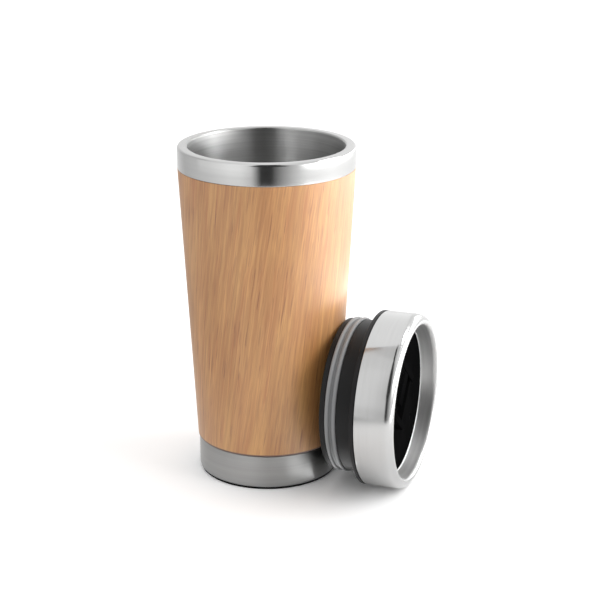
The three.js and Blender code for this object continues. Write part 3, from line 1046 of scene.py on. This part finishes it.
@dataclass(frozen=True)
class LidTop:
    """The lid: steel ring, black moulding with its plug, and clear gasket."""

    radius: float
    ring_height: float
    wall: float = 0.6
    gap: float = 0.3
    shoulder: float = 3.8
    shoulder_depth: float = 4.0
    lip_width: float = 5.4
    lip_round: float = 1.2
    lip_depth: float = 3.0
    hem_round: float = 0.3
    recess_depth: float = 8.6
    recess_draft: float = 1.1
    recess_cove: float = 0.45
    recess_sheet: float = 0.2
    upstand_inset: float = 0.2
    upstand_drop: float = 4.2
    flange_thickness: float = 2.0
    flange_round: float = 0.5
    floor: float = 2.2
    plug_length: float = 17.1
    plug_radius: float = 38.2
    plug_wall: float = 3.0
    plug_chamfer: float = 0.6
    plug_round: float = 1.0
    gasket_width: float = 5.6
    gasket_groove: float = 1.4
    gasket_reach: float = 39.1
    gasket_lip: float = 2.1
    gasket_waist: float = 0.9
    end_lip: float = 2.6
    sip_turn: float = -130.0

    @classmethod
    def from_frame(cls) -> "LidTop":
        """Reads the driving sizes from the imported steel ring."""
        low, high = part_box("lid_ring")
        return cls((high.z - low.z) / 2 / MM, (high.x - low.x) / MM)

    @property
    def recess_floor(self) -> float:
        """Height of the recess floor along the lid's axis."""
        return self.ring_height - self.recess_depth

    @property
    def mouth(self) -> float:
        """Radius of the ring's rolled lip at its narrowest."""
        return self.radius - self.lip_width

    @property
    def plug_end(self) -> float:
        """Height of the plug's open end."""
        return -self.gap - self.flange_thickness - self.plug_length

    @property
    def groove(self) -> Range:
        """Lower and upper edge of the gasket's groove."""
        low = self.plug_end + self.end_lip
        return low, low + self.gasket_width + 2 * self.gap

    @property
    def waist_radius(self) -> float:
        """Radius of the gasket between its lips."""
        return self.gasket_reach - self.gasket_waist

    def build(self, slide: "SipSlide", blacks: Sequence[Material]) -> None:
        """Builds and dresses every fixed piece of the lid.

        Args:
            slide: The sip slide, which shapes the moulding's floor.
            blacks: Finishes of the moulding, outside and in its recess.
        """
        ring = Piece("lid_trim_ring", "lid_ring", "lid", "satin_steel")
        ring.finish(self.ring(), LID.place(), [RING_STEEL.material(), LINING_STEEL.material()])
        moulding = Piece("lid_moulding", "lid_body", "lid", "black_plastic")
        body = joined(self.moulding(), slide.floor_cuts(), Join.CUT)
        body = joined(body, slide.guides(), Join.ADD)
        for face in body.faces:
            middle = face.calc_center_median()
            # Faces in the recess take the darker matt black, which partly paints the recess's shade
            in_recess = middle.z > self.recess_floor - self.floor / 2 and middle.xy.length < self.mouth
            face.material_index = (Black.MATT if in_recess else Black.SATIN).value
        moulding.finish(body, LID.place(self.sip_turn), blacks)
        clear = ClearRing("clear_ring", self.waist_radius * MM)
        gasket = Piece("lid_seal_ring", "lid_gasket", "lid", "clear_silicone")
        gasket.finish(self.gasket(), LID.place(), [clear.material()])

    def ring(self) -> BMesh:
        """Builds the steel ring: outer wall, wide shoulder, rolled lip and the wall that lines the recess.

        Returns:
            The ring, its lining marked as turned steel.
        """
        inside = self.radius - self.wall
        axis = self.radius - self.shoulder
        base = self.ring_height - self.shoulder_depth
        inner, tall = self.shoulder - self.wall, self.shoulder_depth - self.wall
        lip_axis = self.mouth + self.lip_round
        lip_base = self.ring_height - self.lip_depth
        recess = self.mouth - self.recess_draft
        wall_end = self.recess_floor + self.gap
        cove = wall_end + self.recess_cove
        sheet = wall_end - self.recess_sheet
        outline = Outline(inside, self.hem_round).arc(inside + self.hem_round, self.hem_round, 180)
        outline.line(axis + self.shoulder, base)
        outline.oval(axis, base, self.shoulder, self.shoulder_depth, 0, 90, SHOULDER_STEPS)
        outline.line(lip_axis, self.ring_height)
        outline.oval(lip_axis, lip_base, self.lip_round, self.lip_depth, 90, 180)
        outline.line(recess, cove).arc(recess - self.recess_cove, cove, -90, EDGE_STEPS)
        outline.line(recess - self.recess_cove, sheet).line(recess + self.wall, sheet)
        outline.line(self.mouth + self.wall, lip_base)
        outline.oval(lip_axis, lip_base, self.lip_round - self.wall, self.lip_depth - self.wall, 180, 90)
        outline.line(axis, self.ring_height - self.wall).oval(axis, base, inner, tall, 90, 0, SHOULDER_STEPS)
        mesh = outline.line(inside, self.hem_round).turned()
        for face in mesh.faces:
            middle = face.calc_center_median()
            lining = middle.xy.length < lip_axis and face.normal.xy.dot(middle.xy) < 0
            face.material_index = (Steel.TURNED if lining else Steel.POLISHED).value
        return mesh

    def moulding(self) -> BMesh:
        """Builds the black moulding before its floor is cut: flange, plug, upstand and recess floor.

        Returns:
            The moulding.
        """
        ceiling = self.recess_floor - self.floor
        bore = self.plug_radius - self.plug_wall
        bore_axis = bore - self.plug_round
        plug_axis = self.plug_radius - self.plug_chamfer
        plug_base = self.plug_end + self.plug_chamfer
        flange = -self.gap - self.flange_thickness
        flange_axis = self.radius - self.flange_round
        groove_low, groove_high = self.groove
        groove_radius = self.plug_radius - self.gasket_groove
        upstand_out = self.radius - self.wall - self.gap - self.upstand_inset
        upstand_in = self.mouth + self.wall + self.gap
        upstand_top = self.ring_height - self.upstand_drop
        outline = Outline(0, ceiling).line(bore_axis, ceiling)
        outline.arc(bore_axis, ceiling - self.plug_round, -90)
        outline.line(bore, plug_base).line(bore + self.plug_chamfer, self.plug_end)
        outline.line(plug_axis, self.plug_end).arc(plug_axis, plug_base, 90, FINE_STEPS)
        outline.line(self.plug_radius, groove_low).line(groove_radius, groove_low)
        outline.line(groove_radius, groove_high).line(self.plug_radius, groove_high)
        outline.line(self.plug_radius, flange).line(flange_axis, flange)
        outline.arc(flange_axis, flange + self.flange_round, 90, FINE_STEPS)
        outline.line(self.radius, -self.gap).line(upstand_out, -self.gap)
        outline.line(upstand_out, upstand_top).line(upstand_in, upstand_top)
        return outline.line(upstand_in, self.recess_floor).line(0, self.recess_floor).turned()

    def gasket(self) -> BMesh:
        """Builds the clear gasket: two round lips with a waist between them.

        Returns:
            The gasket.
        """
        inside = self.plug_radius - self.gasket_groove + self.gap
        lip = self.gasket_lip / 2
        axis = self.gasket_reach - lip
        low = self.groove[0] + self.gap
        high = low + self.gasket_width
        lip_top, lip_bottom = low + self.gasket_lip, high - self.gasket_lip
        outline = Outline(inside, low).line(axis, low).arc(axis, low + lip, 180, 2 * ARC_STEPS)
        outline.line(self.waist_radius, lip_top).line(self.waist_radius, lip_bottom).line(axis, lip_bottom)
        outline.arc(axis, high - lip, 180, 2 * ARC_STEPS)
        return outline.line(inside, high).line(inside, low).turned()


@dataclass(frozen=True)
class SipSlide:
    """The slide over the sip opening, its seal, and the rails that hold it."""

    lid: LidTop
    gap: float = 0.3
    sip_length: float = 8.0
    sip_width: float = 18.0
    sip_corner: float = 3.0
    sip_flare: float = 0.5
    vent_inset: float = 8.2
    vent_radius: float = 1.5
    vent_flat: float = 0.015
    seal_margin: float = 1.6
    seal_thickness: float = 1.1
    margin: float = 2.5
    side_margin: float = 3.4
    length: float = 21.0
    edge: float = 1.9
    block: float = 1.8
    block_inset: float = 0.8
    corner: float = 2.5
    lift: float = 0.5
    travel: float = 13.0
    thumb_length: float = 6.0
    thumb_width: float = 17.0
    thumb_height: float = 1.8
    thumb_inset: float = 2.0
    rib_count: int = 3
    rib_pitch: float = 1.92
    rib_width: float = 0.8
    rib_height: float = 0.35
    rail_wall: float = 2.0
    rail_lip: float = 1.5
    rail_lip_thickness: float = 1.2
    rail_stop: float = 2.0
    rail_recess_gap: float = 0.5
    soft_edge: float = 0.3

    @property
    def width(self) -> float:
        """Width of the slide across its edges."""
        return self.sip_width + 2 * self.side_margin

    @property
    def rail_side(self) -> float:
        """Distance of each rail's inner face from the middle."""
        return self.width / 2 + self.gap

    @property
    def outer_end(self) -> float:
        """Where the slide ends near the recess wall."""
        reach = self.lid.mouth - self.lid.recess_draft - self.rail_recess_gap
        return math.sqrt(reach**2 - (self.rail_side + self.rail_wall) ** 2)

    @property
    def inner_end(self) -> float:
        """Where the slide ends near the middle of the recess."""
        return self.outer_end - self.length

    @property
    def sip_middle(self) -> float:
        """Middle of the sip opening."""
        return self.outer_end - self.margin - self.sip_length / 2

    @property
    def edge_top(self) -> float:
        """Height of the slide's edges, which run under the rails."""
        return self.lid.recess_floor + self.lift + self.edge

    @property
    def block_top(self) -> float:
        """Height of the slide's raised block."""
        return self.edge_top + self.block

    @property
    def rail_inner_end(self) -> float:
        """Where the open slide stops."""
        return self.inner_end - self.travel - self.gap

    def build(self, black: Material, clear: Material) -> None:
        """Builds and dresses the slide and its seal.

        Args:
            black: Finish of the slide.
            clear: Finish of the seal.
        """
        place = LID.place(self.lid.sip_turn)
        slide = Piece("sip_slide_block", "drink_slider", "slider", "black_plastic")
        slide.finish(joined(self.slide(), self.ribs(), Join.ADD), place, [black])
        seal = Piece("sip_seal_pad", "slider_seal", "slider", "clear_silicone")
        seal.finish(self.seal(), place, [clear])

    def slide(self) -> BMesh:
        """Builds the slide from its seal pocket outwards: edges, raised block and thumb rest.

        Returns:
            The slide.
        """
        soft = self.soft_edge
        bottom = self.lid.recess_floor + self.lift
        middle = self.outer_end - self.length / 2
        grow = 2 * (self.seal_margin + self.gap)
        pocket = (self.sip_middle, self.sip_length + grow, self.sip_width + grow)
        pocket_top = self.lid.recess_floor + self.seal_thickness + 2 * self.gap
        block_size = (self.length - 2 * self.block_inset, self.width - 2 * (self.rail_lip + self.gap))
        thumb_middle = self.inner_end + self.thumb_inset + self.thumb_length / 2
        thumb_size = (self.thumb_length, self.thumb_width)
        thumb_top = self.block_top + self.thumb_height
        levels = [
            Plate(*pocket, pocket_top),
            Plate(*pocket, bottom),
            Plate(middle, self.length - 2 * soft, self.width - 2 * soft, bottom),
            Plate(middle, self.length, self.width, bottom + soft),
            Plate(middle, self.length, self.width, self.edge_top - soft),
            Plate(middle, self.length - soft, self.width - soft, self.edge_top),
            Plate(middle, *block_size, self.edge_top),
            *self.softened(middle, block_size, self.block_top),
            Plate(thumb_middle, self.thumb_length + soft, self.thumb_width + soft, self.block_top),
            Plate(thumb_middle, *thumb_size, self.block_top + soft),
            *self.softened(thumb_middle, thumb_size, thumb_top),
        ]
        return stacked(levels, self.corner)

    def softened(self, middle: float, size: Range, top: float) -> Iterable[Plate]:
        """Levels of a rounded upper edge.

        Args:
            middle: Middle of the block.
            size: Its length and width below the edge.
            top: Its height.

        Yields:
            The levels, from below.
        """
        soft = self.soft_edge
        for inset, drop in ((0, 2 * soft), (soft, soft / 2), (3 * soft, 0)):
            yield Plate(middle, size[0] - inset, size[1] - inset, top - drop)

    def ribs(self) -> Iterable[BMesh]:
        """Builds the grip ribs on the slide's block, in front of the thumb rest.

        Yields:
            One rounded bar for each rib.
        """
        start = self.inner_end + self.thumb_inset + self.thumb_length
        for number in range(1, self.rib_count + 1):
            shift = number * self.rib_pitch
            size = (self.rib_width, self.thumb_width - shift, 2 * self.rib_height)
            yield rounded(block(size, (start + shift, 0, self.block_top)), self.rib_height / 2)

    def seal(self) -> BMesh:
        """Builds the seal pad.

        Returns:
            The pad.
        """
        low = self.lid.recess_floor + self.gap
        high = low + self.seal_thickness
        length, width = self.sip_length + 2 * self.seal_margin, self.sip_width + 2 * self.seal_margin
        edge = self.soft_edge / 2
        heights = ((2 * edge, low), (0, low + edge), (0, high - edge), (2 * edge, high))
        levels = [Plate(self.sip_middle, length - inset, width - inset, height) for inset, height in heights]
        return stacked(levels, self.sip_corner + self.seal_margin)

    def floor_cuts(self) -> Iterable[BMesh]:
        """Builds what is cut from the recess floor: the sip opening and the vent, flared at both faces.

        Yields:
            One block for each opening.
        """
        vent = self.lid.plug_radius - self.lid.plug_wall - self.vent_inset
        vent_size = 2 * self.vent_radius
        openings = (
            (self.sip_middle, self.sip_length, self.sip_width, self.sip_corner),
            (-vent, vent_size, vent_size, self.vent_radius - self.vent_flat),
        )
        top = self.lid.recess_floor
        bottom = top - self.lid.floor
        flare = self.sip_flare
        heights = (
            (2 * flare, bottom - flare / 2), (2 * flare, bottom - flare / 4), (0, bottom + flare),
            (0, top - flare), (2 * flare, top + flare / 4), (2 * flare, top + flare / 2),
        )
        for middle, length, width, corner in openings:
            levels = [Plate(middle, length + grow, width + grow, height) for grow, height in heights]
            yield stacked(levels, corner)

    def guides(self) -> Iterable[BMesh]:
        """Builds what stands on the recess floor: two rails with lips, and the bar that stops the slide.

        Yields:
            One block for each.
        """
        lip_bottom = self.edge_top + self.gap
        top = lip_bottom + self.rail_lip_thickness
        root = self.lid.recess_floor - self.lid.floor / 2
        start = self.rail_inner_end - self.rail_stop - self.rail_wall / 2
        for side in (1, -1):
            wall = side * (self.rail_side + self.rail_wall / 2)
            size = (self.outer_end - start, self.rail_wall, top - root)
            rail = block(size, ((self.outer_end + start) / 2, wall, (top + root) / 2))
            whole = rail.verts[:] + rail.edges[:] + rail.faces[:]
            bmesh.ops.bisect_plane(rail, geom=whole, plane_co=(0, 0, lip_bottom), plane_no=(0, 0, 1))
            upper = [face for face in rail.faces if face.calc_center_median().z > lip_bottom]
            inner = min(upper, key=lambda face: abs(face.calc_center_median().y))
            made = bmesh.ops.extrude_face_region(rail, geom=[inner])
            bmesh.ops.delete(rail, geom=[inner], context="FACES_ONLY")
            lip = picked(made["geom"], BMVert)
            bmesh.ops.translate(rail, vec=(0, -side * self.rail_lip, 0), verts=lip)
            bmesh.ops.recalc_face_normals(rail, faces=rail.faces)
            yield rounded(rail, self.soft_edge)
        stop_top = lip_bottom + self.rail_lip_thickness / 2
        size = (self.rail_stop, 2 * self.rail_side + self.rail_wall, stop_top - root)
        middle = (self.rail_inner_end - self.rail_stop / 2, 0, (stop_top + root) / 2)
        yield rounded(block(size, middle), self.soft_edge)


def reflected(mesh: BMesh, name: str) -> Object:
    """Puts up a card that only reflections see.

    Args:
        mesh: The card.
        name: Its name.

    Returns:
        The card's object.
    """
    card = held(mesh, name)
    card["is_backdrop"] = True
    card.visible_camera = False
    card.visible_diffuse = False
    card.visible_shadow = False
    card.visible_transmission = False
    return card


def stage_shader(piece: Object) -> Shader:
    """Gives a piece of the stage a material of its own name, and hands back its empty nodes."""
    piece.data.materials.append(bpy.data.materials.new(piece.name))
    return Shader(piece.data.materials[0])


@dataclass(frozen=True)
class LevelCard:
    """A level card that only reflections see, turned by some degrees about its front left corner."""

    name: str
    corner: Vector
    width: float
    depth: float
    glow: float
    turn: float = 0.0

    def put_up(self) -> None:
        """Builds the card and dresses it."""
        middle = Matrix.Translation((self.width / 2, self.depth / 2, 0))
        place = Matrix.Translation(self.corner) @ Matrix.Rotation(math.radians(self.turn), 4, "Z") @ middle
        card = reflected(level(self.width, self.depth, place), self.name)
        stage_shader(card).end("ShaderNodeEmission", {"Color": grey(self.glow)})


@dataclass(frozen=True)
class LightBox:
    """A bright patch of the tent: angles from the camera in degrees, heights in metres, and soft edges."""

    start: float
    end: float
    bottom: float
    top: float
    glow: float
    soft: float
    fade: float

    def mask(self, turn: Value, height: Value) -> Value:
        """1 inside the patch and 0 outside it."""
        rows = height.above(self.bottom, self.fade) * (1 - height.above(self.top))
        return turn.between(self.start, self.end, self.soft) * rows


LEVEL_CARDS = (
    LevelCard("ring_card", Vector((0.0526, -0.0274, 0.0905)), 0.0275, 0.075, glow=1.28, turn=12.5),
    LevelCard("sleeve_card", Vector((0.0555, -0.0266, 0.091)), 0.0243, 0.075, glow=4.5, turn=12.5),
    LevelCard("base_card", Vector((0.036, -0.044, 0.0008)), 0.0145, 0.028, glow=2.1),
)
LIGHT_BOXES = (
    LightBox(52, 140, 0.13, 0.22, glow=10, soft=18, fade=0.05),
    LightBox(97, 117, 0.4, 0.62, glow=25, soft=4, fade=0.02),
)
# Brightness of the tent by its angle from the camera, in degrees
TENT_SHADES = (
    (-180, 0.97), (-150, 0.8), (-120, 0.6), (-75, 0.8), (-45, 1.0), (-32, 0.98), (-20, 0.77), (-9, 0.04),
    (4, 0.04), (16, 0.36), (50, 1.2), (90, 1.5), (130, 1.3), (180, 0.97),
)


@dataclass(frozen=True)
class Studio:
    """The floor, light and camera round the object."""

    target: Vector
    azimuth: float = 19.763
    elevation: float = 18.17
    distance: float = 0.81074
    lens: float = 96.08
    floor_size: float = 12.0
    floor_shade: float = 0.58
    floor_seen: float = 1.1
    floor_white: float = 1.14
    floor_reach: Range = (0.25, 0.9)
    floor_left: float = 0.3
    left_reach: Range = (-0.22, -0.02)
    floor_right: float = 5.5
    right_reach: Range = (0.22, 0.34)
    tent_radius: float = 0.36
    tent_height: float = 1.0
    card_height: float = 0.55
    slit: Range = (-20.0, 24.0)
    slit_low: float = 0.18
    slit_shade: float = 0.04
    lift: float = 0.18
    lift_angles: Range = (-90.0, -13.0)
    lift_heights: Range = (0.055, 0.12)
    flag_width: float = 0.27
    flag_depth: float = 0.36
    flag_turn: float = 2.0
    flag_shade: float = 0.02
    key_size: float = 0.8
    key_angle: float = 75.0
    key_rise: float = 0.58
    key_distance: float = 0.95
    key_power: float = 5.3
    sky_low: float = 0.84
    sky_front: float = 0.92
    sky_back: float = 1.22
    sky_rise: Range = (0.0, 0.8)
    sky_panel: Range = (0.12, 0.26)

    @property
    def facing(self) -> float:
        """The camera's azimuth in radians."""
        return math.radians(self.azimuth)

    def back(self) -> Vector:
        """Direction from the object to the camera."""
        turn, tilt = self.facing, math.radians(self.elevation)
        return Vector((math.sin(turn) * math.cos(tilt), -math.cos(turn) * math.cos(tilt), math.sin(tilt)))

    def build(self) -> None:
        """Builds the camera, floor, cards, lamp and sky."""
        self.camera()
        self.floor()
        self.tent()
        self.flag()
        for card in LEVEL_CARDS:
            card.put_up()
        self.key()
        self.world()
        bpy.context.scene.view_settings.view_transform = "Standard"

    def aimed(self, name: str, data: bpy.types.ID, away: Vector, distance: float) -> Object:
        """Puts up the camera or a lamp, pointed at the object.

        Args:
            name: Its name.
            data: The camera's or lamp's settings.
            away: Direction from the object to it.
            distance: How far off it stands.

        Returns:
            Its object.
        """
        holder = bpy.data.objects.new(name, data)
        holder.location = self.target + away * distance
        holder.rotation_euler = (-away).to_track_quat("-Z", "Y").to_euler()
        bpy.context.scene.collection.objects.link(holder)
        return holder

    def camera(self) -> None:
        """Makes the camera at the photograph's angle."""
        data = bpy.data.cameras.new("camera")
        data.lens = self.lens
        bpy.context.scene.camera = self.aimed("camera", data, self.back(), self.distance)

    def floor(self) -> None:
        """Makes the pale floor, which reflections see dimmer on the left and brighter far to the right."""
        floor = held(level(self.floor_size, self.floor_size, Matrix()), "floor")
        floor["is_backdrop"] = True
        shader = stage_shader(floor)
        x, y, _ = shader.place()
        reach = shader.distance(x, y).step(*self.floor_reach)
        white = shader.blend(reach, grey(self.floor_seen), grey(self.floor_white))
        side = x * math.cos(self.facing) + y * math.sin(self.facing)
        left = self.floor_left + side.step(*self.left_reach) * (1 - self.floor_left)
        right = 1 + side.step(*self.right_reach) * (self.floor_right - 1)
        mirrored = shader.blend(1.0, white, left * right, "MULTIPLY")
        rays = shader.node("ShaderNodeLightPath").socket.node.outputs
        seen, glossy, through = (
            Value(shader, rays[f"Is {name} Ray"]) for name in ("Camera", "Glossy", "Transmission")
        )
        shade = shader.blend(seen, grey(self.floor_shade), white)
        shade = shader.blend(shader.math("MAXIMUM", glossy, through), shade, mirrored)
        shader.end("ShaderNodeBsdfDiffuse", {"Color": shade})

    def tent(self) -> None:
        """Makes the ring of pale cards that only reflections see, with a dark gap at the camera."""
        mesh = bmesh.new()
        bmesh.ops.create_circle(mesh, segments=TENT_STEPS, radius=self.tent_radius)
        made = bmesh.ops.extrude_edge_only(mesh, edges=mesh.edges[:])
        bmesh.ops.translate(mesh, vec=(0, 0, self.tent_height), verts=picked(made["geom"], BMVert))
        bmesh.ops.translate(mesh, vec=(self.target.x, self.target.y, MM), verts=mesh.verts)
        shader = stage_shader(reflected(mesh, "tent"))
        x, y, z = shader.place((-self.target.x, -self.target.y, 0))
        sideways = x * math.cos(self.facing) + y * math.sin(self.facing)
        forwards = x * math.sin(self.facing) - y * math.cos(self.facing)
        turn = shader.math("ARCTAN2", sideways, forwards) * math.degrees(1)
        stops = [((degrees + 180) / 360, grey(shade)) for degrees, shade in TENT_SHADES]
        shade = shader.ramp(turn / 360 + 0.5, stops)
        shade = shader.blend(z.above(self.card_height), shade, grey(self.sky_front))
        slit = turn.between(*self.slit) * z.above(self.slit_low)
        shade = shader.blend(slit, shade, grey(self.slit_shade))
        for box in LIGHT_BOXES:
            shade = shader.blend(box.mask(turn, z), shade, grey(box.glow))
        lift = turn.between(*self.lift_angles) * z.step(*self.lift_heights)
        shade = shader.blend(lift, shade, grey(1 + self.lift), "MULTIPLY")
        shader.end("ShaderNodeEmission", {"Color": shade})

    def flag(self) -> None:
        """Makes the dark card overhead, which carries on the slit in the tent."""
        turn = Matrix.Rotation(math.radians(self.azimuth + self.flag_turn), 4, "Z")
        place = Matrix.Translation((self.target.x, self.target.y, self.tent_height)) @ turn
        middle = Matrix.Translation((0, self.flag_depth / 2 - self.tent_radius, 0))
        flag = reflected(level(self.flag_width, self.flag_depth, place @ middle), "flag")
        stage_shader(flag).end("ShaderNodeBsdfDiffuse", {"Color": grey(self.flag_shade)})

    def key(self) -> None:
        """Makes the large soft lamp on the right."""
        data = bpy.data.lights.new("key", "AREA")
        data.shape = "RECTANGLE"
        data.size = self.key_size
        data.size_y = self.key_size
        data.energy = self.key_power
        turn = math.radians(self.azimuth + self.key_angle)
        away = Vector((math.sin(turn), -math.cos(turn), self.key_rise)).normalized()
        self.aimed("key", data, away, self.key_distance).visible_glossy = False

    def world(self) -> None:
        """Makes the pale sky, with a brighter panel overhead and behind."""
        world = bpy.data.worlds.new("sky")
        bpy.context.scene.world = world
        shader = Shader(world)
        x, y, z = shader.split(shader.node("ShaderNodeTexCoord", None, None, "Generated"))
        behind = y * math.cos(self.facing) - x * math.sin(self.facing)
        above = shader.blend(behind.step(*self.sky_panel), grey(self.sky_front), grey(self.sky_back))
        glow = shader.blend(z.step(*self.sky_rise), grey(self.sky_low), above)
        background = shader.node("ShaderNodeBackground", None, {"Color": glow})
        shader.node("ShaderNodeOutputWorld", None, {"Surface": background})


def write_size() -> None:
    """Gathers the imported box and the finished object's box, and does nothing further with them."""
    boxes = {"cad": cad_box, "visual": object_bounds()}
    {name: [list(corner) for corner in box] for name, box in boxes.items()}


def main() -> None:
    """Builds the object and the studio in order."""
    logging.basicConfig(level=logging.INFO, format="%(name)s: %(message)s")
    black, matt, clear = (finish.material() for finish in (BLACK_PLASTIC, MATT_PLASTIC, CLEAR_SILICONE))
    Mug.from_frame().build()
    lid = LidTop.from_frame()
    slide = SipSlide(lid)
    lid.build(slide, [black, matt])
    slide.build(matt, clear)
    Studio(Vector((0.01544, 0.00555, 0.08875))).build()
    write_size()


if __name__ == "__main__":
    main()
